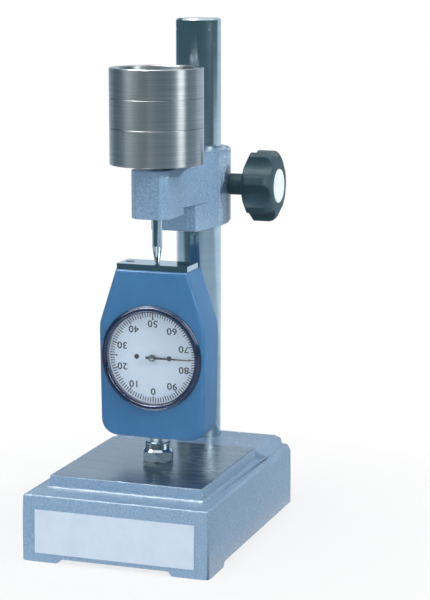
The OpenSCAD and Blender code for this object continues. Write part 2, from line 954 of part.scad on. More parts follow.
// Turned stem screwed into the housing
module stem() {
    color(chrome)
        translate([0, spindle_y, 0])
            rotate_extrude()
                polygon([[0, stem_nut_z + edge], [stem_stud_r, stem_nut_z + edge],
                    [stem_stud_r, stem_ring_z], [stem_d / 2 - stem_groove, stem_ring_z],
                    [stem_d / 2 - stem_groove, stem_ring_z + stem_groove],
                    [stem_d / 2, stem_ring_z + stem_groove],
                    [stem_d / 2, housing_z - stem_groove], [stem_d / 2 - stem_groove, housing_z],
                    [stem_stud_r, housing_z], [stem_stud_r, housing_z + stem_stud_len],
                    [0, housing_z + stem_stud_len]]);
}

// Collar between the stem ring and the nut
module stem_collar() {
    color(chrome)
        translate([0, spindle_y, 0])
            rotate_extrude()
                polygon([[stem_stud_r + seat, stem_collar_z], [stem_d / 2 + stem_chamfer, stem_collar_z],
                    [stem_d / 2, stem_collar_z + collar_flare], [stem_d / 2, stem_ring_z - stem_groove],
                    [stem_d / 2 - stem_groove, stem_ring_z], [stem_stud_r + seat, stem_ring_z]]);
}

// Hexagon nut that stands on the table
module stem_nut() {
    color(chrome)
        translate([0, spindle_y, stem_nut_z])
            difference() {
                intersection() {
                    rotate([0, 0, nut_turn])
                        hexagon(nut_flats, nut_height);
                    rotate_extrude()
                        polygon([[0, 0], [nut_flats / 2, 0], [nut_flats / 2 + nut_crown, stem_chamfer],
                            [nut_flats / 2 + nut_crown, nut_height - stem_chamfer],
                            [nut_flats / 2, nut_height], [0, nut_height]]);
                }
                translate([0, 0, -over])
                    cylinder(h = nut_height + 2 * over, r = stem_stud_r + seat);
            }
}

// Upright block from a place along the arm back to the column
module arm_web(y0, z0, z1) {
    translate([0, 0, z0])
        linear_extrude(z1 - z0)
            polygon([[-arm_half(y0), y0], [arm_half(y0), y0], [flank_half, flank_y], [flank_half, column_y],
                [-flank_half, column_y], [-flank_half, flank_y]]);
}

// Cast arm with guide block and column boss
module arm_casting() {
    color(paint)
        difference() {
            union() {
                translate([0, 0, block_z])
                    linear_extrude(block_height)
                        polygon([[block_chamfer - block_half, block_front],
                            [block_half - block_chamfer, block_front],
                            [block_half, block_front + block_chamfer], [block_half, block_rear],
                            [-block_half, block_rear], [-block_half, block_front + block_chamfer]]);
                arm_web(block_rear - over, block_z + web_rise, block_top);
                arm_web(notch_rear, boss_z, block_top);
                arm_web(raise_y, block_top - over, boss_z + boss_height);
                translate([0, column_y, boss_z])
                    rotate_extrude()
                        polygon([[0, 0], [boss_radius - boss_edge, 0], [boss_radius, boss_edge],
                            [boss_radius, boss_height - boss_edge], [boss_radius - boss_edge, boss_height],
                            [0, boss_height]]);
            }
            translate([0, column_y, boss_z - over])
                cylinder(h = boss_height + 2 * over, r = column_r + arm_run);
            for (end = [0, 1])
                translate([0, column_y, boss_z + end * boss_height])
                    mirror([0, 0, end])
                        translate([0, 0, -seat])
                            cylinder(h = bore_chamfer, r1 = column_r + bore_chamfer, r2 = column_r);
            post(block_z - over, block_top + over, bush_out_r + seat);
            rod_x(column_r - over, boss_radius + over, clamp_r + thread_run);
        }
}

// Bush at the top of the guide block
module upper_bush() {
    color(brass)
        difference() {
            post(block_top - bush_len, block_top, bush_out_r);
            post(block_z, block_top + over, spindle_r + run);
        }
}

// Bush at the bottom of the guide block
module lower_bush() {
    color(brass)
        difference() {
            post(block_z, block_z + bush_len, bush_out_r);
            post(block_z - over, block_top, spindle_r + run);
        }
}

// Brass pad between the stud and the column
module clamp_pad() {
    color(brass)
        rod_x(column_r + pad_gap, column_r + pad_gap + pad_len, pad_r);
}

// Threaded stud fixed in the knob
module clamp_stud() {
    color(steel)
        rod_x(stud_start, stud_end, clamp_r);
}

// Lobed clamp knob
module clamp_knob() {
    color(black)
        translate([0, column_y, clamp_z])
            rotate([0, 90, 0])
                difference() {
                    rotate_extrude()
                        polygon(concat([[clamp_r + seat, neck_start], [neck_r, neck_start],
                            [neck_r, knob_back], [knob_root_r, knob_root], [knob_r - edge, knob_wide],
                            [knob_r, knob_wide + edge],
                            [knob_r, knob_shoulder]],
                            [for (i = [1 : arc_steps])
                                [knob_face_r + (knob_r - knob_face_r) * cos(90 * i / arc_steps),
                                 knob_shoulder + (knob_front - knob_shoulder) * sin(90 * i / arc_steps)]],
                            [[cap_r + seat, knob_front], [cap_r + seat, knob_front - cap_deep],
                             [0, knob_front - cap_deep], [0, stud_end + seat],
                             [clamp_r + seat, stud_end + seat]]));
                    for (i = [0 : knob_lobes - 1])
                        rotate([0, 0, 360 * (i + 0.5) / knob_lobes])
                            translate([valley_x, 0, knob_root + edge])
                                cylinder(h = knob_front, r = valley_r);
                }
}

// Round cap in the front of the knob
module knob_cap() {
    color(white)
        rod_x(knob_front - cap_deep, knob_front + cap_proud, cap_r);
}

// Guided spindle with a slender tip
module spindle() {
    color(chrome)
        translate([0, spindle_y, 0])
            rotate_extrude()
                polygon([[0, spindle_tip_z], [spindle_tip_r, spindle_tip_z],
                    [spindle_r, spindle_tip_z + spindle_taper], [spindle_r, weight_z - shoulder_h],
                    [shoulder_r, weight_z - shoulder_h], [shoulder_r, weight_z], [stud_r, weight_z],
                    [stud_r, weight_z + stud_len], [0, weight_z + stud_len]]);
}

// Nut that holds the spindle in the lower weight
module spindle_nut() {
    color(steel)
        translate([0, spindle_y, weight_z + lower_height - lower_recess])
            difference() {
                hexagon(spindle_nut_flats, spindle_nut_h);
                translate([0, 0, -over])
                    cylinder(h = spindle_nut_h + 2 * over, r = stud_r + seat);
            }
}

// Section of a weight from its underside up, with a recess in its top
module weight_body(h, deep) {
    rotate_extrude()
        polygon([[0, 0], [weight_r - weight_edge, 0], [weight_r, weight_edge], [weight_r, h - weight_edge],
            [weight_r - weight_edge, h], [recess_r + edge, h], [recess_r, h - edge], [recess_r, h - deep],
            [0, h - deep]]);
}

// Lower weight, fixed to the spindle
module lower_weight() {
    color(steel)
        translate([0, spindle_y, weight_z])
            difference() {
                weight_body(lower_height, lower_recess);
                translate([0, 0, -over])
                    cylinder(h = lower_height, r = stud_r + seat);
            }
}

// Weight with a spigot that drops into the one below
module disc_weight(z) {
    color(steel)
        translate([0, spindle_y, z]) {
            weight_body(disc_height, recess_deep);
            translate([0, 0, -weight_spigot])
                cylinder(h = weight_spigot + over, r = weight_spigot_r);
        }
}

// Middle weight
module middle_weight() {
    disc_weight(middle_z);
}

// Upper weight
module upper_weight() {
    disc_weight(upper_z);
}

// Indenter rod with its collar, tip and the block that carries the rack
module indenter() {
    color(steel) {
        translate([0, spindle_y, 0])
            rotate_extrude()
                polygon([[0, rod_foot_z], [rod_r, rod_foot_z], [rod_r, collar_z], [collar_r, collar_z],
                    [collar_r, collar_z + collar_h], [rod_r, collar_z + collar_h], [rod_r, rod_step_z],
                    [tip_r, rod_step_z], [tip_r, tip_z - tip_cone], [tip_flat_r, tip_z], [0, tip_z]]);
        translate([carrier_x0, rack_y, rod_foot_z])
            cube([rack_line_x - carrier_x0, spindle_y - rack_y + rod_r, carrier_h]);
    }
}

// Rack that hangs from the indenter
module indenter_rack() {
    count = floor((rod_foot_z - rack_low_z) / rack_pitch) - 1;
    first = floor((rack_low_z - wheel_z) / rack_pitch) + 1;
    m = rack_pitch / PI;
    color(steel)
        along_y(rack_y, rack_y + rack_thick)
            union() {
                translate([rack_back_x, rack_low_z])
                    square([rack_line_x - tooth_down * m - rack_back_x, rod_foot_z - rack_low_z]);
                for (i = [first : first + count - 1])
                    translate([rack_line_x, wheel_z + i * rack_pitch])
                        polygon([[-tooth_down * m - seat, -root_share * rack_pitch / 2],
                            [tooth_up * m, -tip_share * rack_pitch / 2],
                            [tooth_up * m, tip_share * rack_pitch / 2],
                            [-tooth_down * m - seat, root_share * rack_pitch / 2]]);
            }
}

// Arbor of the gear wheel with the pinion that meets the rack
module gear_arbor() {
    m = rack_pitch / PI;
    color(steel) {
        rod_y(wheel_x, wheel_z, plate_y + seat, bridge_y + bridge_thick, pivot_r);
        rod_y(wheel_x, wheel_z, seat_y + 2 * pivot_run, bridge_y - 2 * pivot_run, arbor_r);
        translate([wheel_x, 0, wheel_z])
            along_y(rack_y, rack_y + rack_thick)
                polygon(gear_points(rack_pitch_r, m, rack_pinion_teeth, 180 + 180 / rack_pinion_teeth));
    }
}

// Gear wheel of the movement
module gear_wheel() {
    color(brass)
        difference() {
            translate([wheel_x, 0, wheel_z])
                along_y(wheel_y, wheel_y + wheel_thick)
                    polygon(gear_points(wheel_pitch_r, wheel_module, wheel_teeth, mesh_angle));
            rod_y(wheel_x, wheel_z, wheel_y - over, wheel_y + wheel_thick + over, arbor_r + seat);
        }
}

// Arbor of the pointer with its pinion
module pointer_arbor() {
    color(steel) {
        rod_y(0, dial_z, pointer_y - hub_h / 2, wheel_y, pointer_arbor_r);
        rod_y(0, dial_z, wheel_y, bridge_y + bridge_thick, pivot_r);
        rod_y(0, dial_z, wheel_y, bridge_y - 2 * pivot_run, arbor_r);
        translate([0, 0, dial_z])
            along_y(wheel_y - seat, wheel_y + wheel_thick + seat)
                polygon(gear_points(pinion_pitch_r, wheel_module, pinion_teeth, pinion_turn));
    }
}

// Pointer with its hub
module pointer() {
    color(black)
        difference() {
            union() {
                along_y(pointer_y, pointer_y + pointer_thick)
                    translate([0, dial_z])
                        polygon([[-pointer_tail, -pointer_root], [0, -pointer_root],
                            [pointer_len, -pointer_end], [pointer_len, pointer_end],
                            [0, pointer_root], [-pointer_tail, pointer_root]]);
                rod_y(0, dial_z, pointer_y - hub_h / 2, pointer_y + hub_h / 2, hub_r);
            }
            rod_y(0, dial_z, pointer_y - hub_h, pointer_y + hub_h, pointer_arbor_r + seat / 2);
        }
}

base_casting();
table_plate();
table_screws();
column();
column_bolt();
column_washer();
label_plate();
gauge_housing();
rear_cover();
cover_screws();
pressure_foot();
foot_screws();
bezel();
crystal();
dial_plate();
dial_screws();
movement_plate();
movement_bridge();
bridge_pillars();
bridge_screws();
guide_bush();
load_spring();
stem();
stem_collar();
stem_nut();
arm_casting();
upper_bush();
lower_bush();
clamp_pad();
clamp_stud();
clamp_knob();
knob_cap();
spindle();
spindle_nut();
lower_weight();
middle_weight();
upper_weight();
indenter();
indenter_rack();
gear_arbor();
gear_wheel();
pointer_arbor();
pointer();
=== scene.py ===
import json
import math

import bpy
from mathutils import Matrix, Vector

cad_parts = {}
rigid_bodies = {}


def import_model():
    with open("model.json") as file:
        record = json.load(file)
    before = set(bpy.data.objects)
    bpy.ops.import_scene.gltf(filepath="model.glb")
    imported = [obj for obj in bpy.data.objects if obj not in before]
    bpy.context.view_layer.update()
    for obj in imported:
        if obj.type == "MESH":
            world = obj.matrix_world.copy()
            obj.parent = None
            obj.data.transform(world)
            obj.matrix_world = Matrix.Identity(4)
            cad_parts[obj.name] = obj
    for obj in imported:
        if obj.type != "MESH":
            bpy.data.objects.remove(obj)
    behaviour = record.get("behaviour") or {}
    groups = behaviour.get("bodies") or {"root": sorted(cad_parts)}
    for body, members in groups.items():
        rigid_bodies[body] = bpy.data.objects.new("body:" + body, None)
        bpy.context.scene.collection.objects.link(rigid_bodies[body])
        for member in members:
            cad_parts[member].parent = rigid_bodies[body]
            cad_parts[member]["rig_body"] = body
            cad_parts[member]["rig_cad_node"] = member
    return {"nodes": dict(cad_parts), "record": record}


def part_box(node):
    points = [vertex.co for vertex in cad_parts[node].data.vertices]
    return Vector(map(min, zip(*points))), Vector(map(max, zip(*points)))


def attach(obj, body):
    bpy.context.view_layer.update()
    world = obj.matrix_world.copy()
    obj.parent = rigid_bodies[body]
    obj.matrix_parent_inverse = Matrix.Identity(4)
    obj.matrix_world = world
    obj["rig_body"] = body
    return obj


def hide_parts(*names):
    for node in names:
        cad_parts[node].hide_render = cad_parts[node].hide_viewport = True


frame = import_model()
bpy.ops.object.select_all(action="DESELECT")
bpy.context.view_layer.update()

# Places read from the frame, in metres
MM = 0.001
nodes = frame["nodes"]
dial_low, dial_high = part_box("dial_plate")
DIAL_X = (dial_low.x + dial_high.x) / 2
DIAL_Z = (dial_low.z + dial_high.z) / 2
DIAL_Y = dial_low.y
POINTER_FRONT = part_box("pointer")[0].y

# Camera, found from the photograph
CAMERA_AT = Vector((398.1, -1046.7, 345.4)) * MM
CAMERA_TO = Vector((29.1, 8.5, 141.6)) * MM
CAMERA_LENS = 115.07

# Tones of the room that polished metal shows: dark walls, pale table top, light behind
SHADE = (0.056, 0.110, 0.135, 1)
PALE_SHADE = (0.40, 0.52, 0.62, 1)
REAR_GROUND_TONE = (0.68, 0.80, 0.90, 1)
REAR_WALL_TONE = (0.55, 0.66, 0.76, 1)

# Soft light from all round
SOFT_LIGHT_TONE = (0.86, 0.95, 1, 1)
SOFT_LIGHT_STRENGTH = 0.45

# Floor, in metres, with the share of plain white close to the stand, where the shadow falls
FLOOR_SIZE = 12
FLOOR_TONE = (0.93, 0.94, 0.95, 1)
SHADOW_NEAR = 0.08
SHADOW_FAR = 0.26
SHADOW_WHITE = 0.78

# Cards and strip lights round the table, in metres
CARD_LIFT = 0.003
FLAG_WIDTH = 5.2
FLAG_HEIGHT = 3.0
FLAG_DISTANCE = 2.6
STRIP_AIM = (0, 0, 0.3)
STRIP_LENGTH = 0.9

# Dial print, in metres, with each stroke as its width and length
PRINT_THICK = 0.03 * MM
STROKE_OUTER = 26.9 * MM
POINT_STROKE = (0.5 * MM, 2.7 * MM)
FIVE_STROKE = (0.56 * MM, 3.3 * MM)
TEN_STROKE = (0.66 * MM, 3.5 * MM)
NUMBER_RADIUS = 20.3 * MM
NUMBER_HEIGHT = 5.6 * MM
NUMBER_WIDTH = 6.2 * MM
NUMBER_STEP = 10
SCALE_POINTS = 100
DOT_RADIUS = 0.55 * MM
DOT_PLACE = 22.9 * MM
DOT_READINGS = (25, 50, 75)

# Numbers before they are scaled, in heights of the type
NUMBER_BOLD = 0.027
NUMBER_SPACE = 1.08
NUMBER_WELD = 0.0005

# Bright boss on the pointer's hub, in metres
BOSS_RADIUS = 1.35 * MM
BOSS_HEIGHT = 0.35 * MM
BOSS_EDGE = 0.09 * MM

# Corners nearer than this are one corner, in metres
MERGE_GAP = 0.002 * MM

# Rounded edges, in metres
CASTING_ROUND = 0.6 * MM
HOUSING_ROUND = 0.5 * MM
KNOB_ROUND = 0.4 * MM
ROUND_STEPS = 3

# Heights above which edges are rounded, in metres, the last one below every edge
BASE_ROUND_ABOVE = 30 * MM
ARM_ROUND_ABOVE = 205 * MM
ROUND_ALL = -1.0

# Angles between faces, in degrees, and how far large faces stay flat beside rounded edges
FLUSH_ANGLE = 0.4
SHARP_ANGLE = 40
SMOOTH_ANGLE = 32
ARM_SMOOTH_ANGLE = 9.5
BOSS_SMOOTH_ANGLE = 35
FLAT_FACE_WEIGHT = 90

# Bar that cuts the slopes at the ends of the base's rear block, in metres and degrees
SLOPE_TOOL = 24 * MM
SLOPE_LENGTH = 70 * MM
SLOPE_X = 58.4 * MM
SLOPE_Y = 66 * MM
SLOPE_Z = 50.5 * MM
SLOPE_TURN = 45

# Rounded front of the bezel, in metres
CROWN_EDGE = 0.7 * MM
CROWN_WIDTH = 2.9 * MM
CROWN_RISE = 1.3 * MM


def linear(red, green, blue):
    """A colour as a screen shows it, 0 to 255, as the shader's own numbers."""
    def one(value):
        share = value / 255
        return share / 12.92 if share <= 0.04045 else ((share + 0.055) / 1.055) ** 2.4
    return one(red), one(green), one(blue), 1.0


# Materials


class Finish:
    """A new material with its shader, and short ways to add the nodes that these finishes use."""

    def __init__(self, name, rough, metal=0.0):
        self.material = bpy.data.materials.new(name)
        self.material.use_nodes = True
        self.tree = self.material.node_tree
        self.shader = self.tree.nodes["Principled BSDF"]
        self.shader.inputs["Roughness"].default_value = rough
        self.shader.inputs["Metallic"].default_value = metal
        self.place = self.tree.nodes.new("ShaderNodeTexCoord")

    def link(self, source, target):
        self.tree.links.new(source, target)

    def stretched(self, scale):
        mapping = self.tree.nodes.new("ShaderNodeMapping")
        mapping.inputs["Scale"].default_value = scale
        self.link(self.place.outputs["Object"], mapping.inputs["Vector"])
        return mapping.outputs["Vector"]

    def noise(self, scale, detail=3.0, vector=None):
        node = self.tree.nodes.new("ShaderNodeTexNoise")
        node.inputs["Scale"].default_value = scale
        node.inputs["Detail"].default_value = detail
        self.link(vector or self.place.outputs["Object"], node.inputs["Vector"])
        return node.outputs["Fac"]

    def cells(self, scale):
        node = self.tree.nodes.new("ShaderNodeTexVoronoi")
        node.feature = "SMOOTH_F1"
        node.inputs["Scale"].default_value = scale
        self.link(self.place.outputs["Object"], node.inputs["Vector"])
        return node.outputs["Distance"]

    def ramp(self, value, stops):
        node = self.tree.nodes.new("ShaderNodeValToRGB")
        points = node.color_ramp.elements
        while len(points) < len(stops):
            points.new(0.5)
        for point, (place, colour) in zip(points, stops):
            point.position = place
            point.color = colour
        self.link(value, node.inputs["Fac"])
        return node.outputs["Color"]

    def spread(self, value, low, high):
        node = self.tree.nodes.new("ShaderNodeMapRange")
        node.inputs["To Min"].default_value = low
        node.inputs["To Max"].default_value = high
        self.link(value, node.inputs["Value"])
        return node.outputs["Result"]

    def colour(self, socket):
        self.link(socket, self.shader.inputs["Base Color"])

    def rough(self, socket):
        self.link(socket, self.shader.inputs["Roughness"])

    def bump(self, value, strength, depth):
        node = self.tree.nodes.new("ShaderNodeBump")
        node.inputs["Strength"].default_value = strength
        node.inputs["Distance"].default_value = depth
        self.link(value, node.inputs["Height"])
        self.link(node.outputs["Normal"], self.shader.inputs["Normal"])

    def set(self, **values):
        for name, value in values.items():
            self.shader.inputs[name.replace("_", " ")].default_value = value


def hammered_enamel(name, tones):
    """Light blue paint with the small dimples of a hammered finish."""
    finish = Finish(name, 0.34)
    finish.set(Coat_Weight=0.35, Coat_Roughness=0.1, Specular_IOR_Level=0.45)
    dimples = finish.cells(700)
    flakes = finish.noise(2600, 2.0)
    finish.colour(finish.ramp(finish.noise(1100, 3.0), list(zip((0.30, 0.52, 0.74), tones))))
    finish.rough(finish.spread(flakes, 0.18, 0.4))
    finish.bump(dimples, 1.0, 0.4 * MM)
    return finish.material


def case_enamel():
    """Smooth blue paint of the gauge's case."""
    finish = Finish("case_enamel", 0.36)
    finish.set(Coat_Weight=0.1, Coat_Roughness=0.25, Specular_IOR_Level=0.4)
    finish.colour(finish.ramp(finish.noise(60, 4.0), [
        (0.30, linear(56, 112, 160)), (0.55, linear(61, 117, 164)), (0.78, linear(66, 122, 168))]))
    finish.rough(finish.spread(finish.noise(900, 3.0), 0.34, 0.46))
    finish.bump(finish.noise(1500, 2.0), 0.08, 0.08 * MM)
    return finish.material


def ground_steel():
    """Steel with the fine lines of a surface grinder."""
    finish = Finish("fine_ground_steel", 0.28, 1.0)
    lines = finish.noise(1.0, 4.0, finish.stretched((60, 5200, 60)))
    finish.colour(finish.ramp(finish.noise(1.0, 5.0, finish.stretched((35, 900, 35))), [
        (0.30, linear(146, 158, 169)), (0.55, linear(157, 170, 181)), (0.75, linear(167, 180, 190))]))
    finish.rough(finish.spread(lines, 0.2, 0.34))
    finish.bump(lines, 0.02, 0.02 * MM)
    return finish.material


def polished_chrome(name, smooth, dull):
    """Chrome plate with faint turning marks."""
    finish = Finish(name, smooth, 1.0)
    finish.colour(finish.ramp(finish.noise(1.0, 3.0, finish.stretched((20, 20, 160))), [
        (0.35, linear(196, 210, 217)), (0.65, linear(206, 219, 226))]))
    finish.rough(finish.spread(finish.noise(1.0, 4.0, finish.stretched((30, 30, 2600))), smooth, dull))
    return finish.material


def turned_steel():
    """Steel with rings from the lathe, which draw each light out into an upright band."""
    finish = Finish("turned_steel", 0.27, 1.0)
    finish.set(Anisotropic=0.85, Anisotropic_Rotation=0.25)
    rings = finish.noise(1.0, 6.0, finish.stretched((9, 9, 5200)))
    broad = finish.noise(1.0, 4.0, finish.stretched((25, 25, 2400)))
    finish.colour(finish.ramp(broad, [
        (0.30, linear(160, 166, 169)), (0.52, linear(176, 181, 184)), (0.74, linear(192, 196, 198))]))
    finish.rough(finish.spread(rings, 0.28, 0.36))
    finish.bump(rings, 0.1, 0.03 * MM)
    tangent = finish.tree.nodes.new("ShaderNodeTangent")
    tangent.direction_type = "RADIAL"
    tangent.axis = "Z"
    finish.link(tangent.outputs["Tangent"], finish.shader.inputs["Tangent"])
    return finish.material


def satin_steel(name, dark, light):
    """Plain steel of screws and springs."""
    finish = Finish(name, 0.3, 1.0)
    grain = finish.noise(1700, 4.0)
    finish.colour(finish.ramp(finish.noise(240, 3.0), [(0.3, dark), (0.7, light)]))
    finish.rough(finish.spread(grain, 0.22, 0.38))
    finish.bump(grain, 0.05, 0.03 * MM)
    return finish.material


def plated_steel():
    """Bright plate of the gauge's stem."""
    finish = Finish("plated_steel", 0.2, 1.0)
    rings = finish.noise(1.0, 4.0, finish.stretched((40, 40, 3000)))
    finish.colour(finish.ramp(finish.noise(260, 3.0), [
        (0.3, linear(198, 210, 216)), (0.7, linear(210, 221, 227))]))
    finish.rough(finish.spread(rings, 0.08, 0.16))
    return finish.material


def label_film():
    """Pale film of the bare label."""
    finish = Finish("label_film", 0.42)
    finish.colour(finish.ramp(finish.noise(90, 4.0), [
        (0.30, linear(214, 227, 243)), (0.55, linear(219, 232, 246)), (0.78, linear(223, 236, 249))]))
    finish.rough(finish.spread(finish.noise(1300, 2.0), 0.38, 0.48))
    finish.bump(finish.noise(420, 2.0), 0.03, 0.05 * MM)
    return finish.material


def bezel_lacquer():
    """Dark blue lacquer of the bezel."""
    finish = Finish("bezel_lacquer", 0.18, 0.35)
    finish.set(Coat_Weight=0.8, Coat_Roughness=0.06)
    finish.colour(finish.ramp(finish.noise(150, 4.0), [
        (0.30, linear(28, 44, 74)), (0.55, linear(33, 50, 82)), (0.78, linear(39, 57, 90))]))
    finish.rough(finish.spread(finish.noise(800, 3.0), 0.14, 0.24))
    return finish.material


def clear_window():
    """Clear plastic of the crystal."""
    finish = Finish("clear_window", 0.03)
    finish.set(Alpha=0.05, IOR=1.49)
    finish.colour(finish.ramp(finish.noise(12, 2.0), [
        (0.3, linear(232, 240, 246)), (0.7, linear(240, 246, 250))]))
    return finish.material


def dial_enamel():
    """Pale enamel of the dial."""
    finish = Finish("dial_enamel", 0.4)
    finish.colour(finish.ramp(finish.noise(70, 4.0), [
        (0.30, linear(205, 219, 236)), (0.55, linear(210, 224, 240)), (0.78, linear(215, 228, 243))]))
    finish.rough(finish.spread(finish.noise(2200, 2.0), 0.36, 0.46))
    finish.bump(finish.noise(2600, 2.0), 0.04, 0.02 * MM)
    return finish.material


def print_black():
    """Black print and paint of the dial and the pointer."""
    finish = Finish("print_black", 0.38)
    finish.colour(finish.ramp(finish.noise(900, 3.0), [
        (0.3, linear(10, 14, 20)), (0.7, linear(18, 24, 31))]))
    finish.rough(finish.spread(finish.noise(1600, 2.0), 0.32, 0.46))
    return finish.material


def movement_brass():
    """Brass of the movement and the bushes."""
    finish = Finish("satin_brass", 0.26, 1.0)
    grain = finish.noise(1.0, 4.0, finish.stretched((160, 160, 2400)))
    finish.colour(finish.ramp(finish.noise(180, 3.0), [
        (0.3, linear(196, 162, 88)), (0.7, linear(214, 182, 108))]))
    finish.rough(finish.spread(grain, 0.2, 0.34))
    return finish.material


def knob_plastic():
    """Dark moulded plastic of the clamp knob."""
    finish = Finish("knob_plastic", 0.55)
    finish.set(Specular_IOR_Level=0.35)
    finish.colour(finish.ramp(finish.noise(110, 4.0), [
        (0.30, linear(36, 62, 70)), (0.55, linear(42, 69, 78)), (0.78, linear(49, 77, 86))]))
    finish.rough(finish.spread(finish.noise(1400, 3.0), 0.5, 0.66))
    finish.bump(finish.noise(2000, 2.0), 0.07, 0.05 * MM)
    return finish.material


def cap_plastic():
    """White plastic of the knob's cap."""
    finish = Finish("cap_plastic", 0.3)
    finish.colour(finish.ramp(finish.noise(130, 3.0), [
        (0.3, linear(238, 244, 250)), (0.7, linear(244, 249, 253))]))
    finish.rough(finish.spread(finish.noise(1200, 2.0), 0.24, 0.36))
    return finish.material


FINISHES = {
    "hammer_paint": hammered_enamel(
        "hammered_enamel", (linear(130, 161, 191), linear(145, 174, 203), linear(162, 189, 215))),
    "ground_steel": ground_steel(),
    "chrome": polished_chrome("polished_chrome", 0.03, 0.10),
    "weight_steel": turned_steel(),
    "fastener_steel": satin_steel("satin_fastener_steel", linear(120, 132, 140), linear(150, 162, 168)),
    "label_white": label_film(),
    "case_paint": case_enamel(),
    "bezel_black": bezel_lacquer(),
    "window": clear_window(),
    "dial_white": dial_enamel(),
    "pointer_black": print_black(),
    "movement_brass": movement_brass(),
    "spring_steel": satin_steel("bright_spring_steel", linear(104, 114, 120), linear(136, 146, 152)),
    "knob_black": knob_plastic(),
    "cap_white": cap_plastic(),
}


def dress(piece, slot):
    """Gives a piece the finish of its slot."""
    piece.data.materials.clear()
    piece.data.materials.append(FINISHES[slot])


for entry in frame["record"]["subparts"]:
    dress(nodes[entry["node"]], entry["material_slot"])

# Pieces whose finish differs from the rest of their slot. The arm's paint is a darker copy of the base's
# paint: painted shade standing in for the shadow that the weights cast on the arm.
ARM_PAINTED_SHADE_FINISH = hammered_enamel(
    "hammered_enamel_arm_painted_shade", (linear(114, 144, 173), linear(128, 158, 186), linear(145, 173, 199)))
STEM_FINISH = plated_steel()
OWN_FINISHES = {
    "stem": STEM_FINISH,
    "stem_collar": STEM_FINISH,
    "stem_nut": STEM_FINISH,
    "column": polished_chrome("column_chrome", 0.14, 0.2),
    "foot_screws": satin_steel("blackened_steel", linear(40, 48, 54), linear(62, 70, 76)),
}
for node, own_finish in OWN_FINISHES.items():
    nodes[node].data.materials[0] = own_finish


# New pieces


def only(piece):
    """Selects one piece and nothing else."""
    bpy.ops.object.select_all(action="DESELECT")
    piece.select_set(True)
    bpy.context.view_layer.objects.active = piece


def settle(piece):
    """Puts a piece's place, turn and size into its mesh."""
    only(piece)
    bpy.ops.object.transform_apply(location=True, rotation=True, scale=True)


def seat(piece, name, body, slot):
    """Names a piece, dresses it and lets it ride on its body."""
    piece.name = name
    piece.data.name = name
    dress(piece, slot)
    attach(piece, body)
    return piece


def join(pieces):
    """Makes one piece of several."""
    bpy.ops.object.select_all(action="DESELECT")
    for piece in pieces:
        piece.select_set(True)
    bpy.context.view_layer.objects.active = pieces[0]
    bpy.ops.object.join()
    return bpy.context.view_layer.objects.active


def sloped_ends(piece):
    """Cuts the slopes at both ends of the base's rear block."""
    for side in (-1, 1):
        bpy.ops.mesh.primitive_cube_add(size=1, location=(side * SLOPE_X, SLOPE_Y, SLOPE_Z))
        cutter = bpy.context.object
        cutter.rotation_euler.y = math.radians(SLOPE_TURN)
        cutter.scale = (SLOPE_TOOL, SLOPE_LENGTH, SLOPE_TOOL)
        cut = piece.modifiers.new("slope", "BOOLEAN")
        cut.operation = "DIFFERENCE"
        cut.solver = "EXACT"
        cut.object = cutter
        only(piece)
        bpy.ops.object.modifier_apply(modifier=cut.name)
        bpy.data.objects.remove(cutter)


def round_edges(piece, radius, above):
    """Rounds the sharp edges that lie wholly above a height."""
    only(piece)
    bpy.ops.object.mode_set(mode="EDIT")
    bpy.ops.mesh.select_mode(type="EDGE")
    bpy.ops.mesh.select_all(action="DESELECT")
    bpy.ops.mesh.edges_select_sharp(sharpness=math.radians(SHARP_ANGLE))
    bpy.ops.object.mode_set(mode="OBJECT")
    corners = piece.data.vertices
    for edge in piece.data.edges:
        edge.select = edge.select and all(corners[end].co.z > above for end in edge.vertices)
    bpy.ops.object.mode_set(mode="EDIT")
    bpy.ops.mesh.bevel(offset=radius, segments=ROUND_STEPS, affect="EDGES", clamp_overlap=False)
    bpy.ops.mesh.select_all(action="SELECT")
    bpy.ops.mesh.remove_doubles(threshold=MERGE_GAP)
    bpy.ops.object.mode_set(mode="OBJECT")


def softened(node, body, slot, radius, smooth=SMOOTH_ANGLE, above=ROUND_ALL, shaped=None):
    """A copy of a cast or moulded node, cut by shaped where given, with its sharp edges rounded."""
    source = nodes[node]
    piece = source.copy()
    piece.data = source.data.copy()
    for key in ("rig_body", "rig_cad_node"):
        del piece[key]
    piece.parent = None
    bpy.context.scene.collection.objects.link(piece)
    only(piece)
    bpy.ops.object.mode_set(mode="EDIT")
    bpy.ops.mesh.select_all(action="SELECT")
    bpy.ops.mesh.remove_doubles(threshold=MERGE_GAP)
    bpy.ops.mesh.dissolve_limited(angle_limit=math.radians(FLUSH_ANGLE))
    bpy.ops.object.mode_set(mode="OBJECT")
    if shaped:
        shaped(piece)
    round_edges(piece, radius, above)
    bpy.ops.object.shade_smooth_by_angle(angle=math.radians(smooth))
    flat = piece.modifiers.new("flat_faces", "WEIGHTED_NORMAL")
    flat.keep_sharp = True
    flat.weight = FLAT_FACE_WEIGHT
    bpy.ops.object.modifier_apply(modifier=flat.name)
    seat(piece, node + "_look", body, slot)
    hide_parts(node)
    return piece


def dial_angle(reading):
    """Where a reading is on the dial, from +X towards +Z, for a dial that stands upside down."""
    return math.radians(-90 - 360 * reading / SCALE_POINTS)


def place_on_dial(piece, turn):
    """Stands a flat piece on the dial face and turns it about the dial's middle."""
    piece.rotation_euler = (math.pi / 2, -turn, 0)
    piece.location = (DIAL_X, DIAL_Y, DIAL_Z)
    settle(piece)


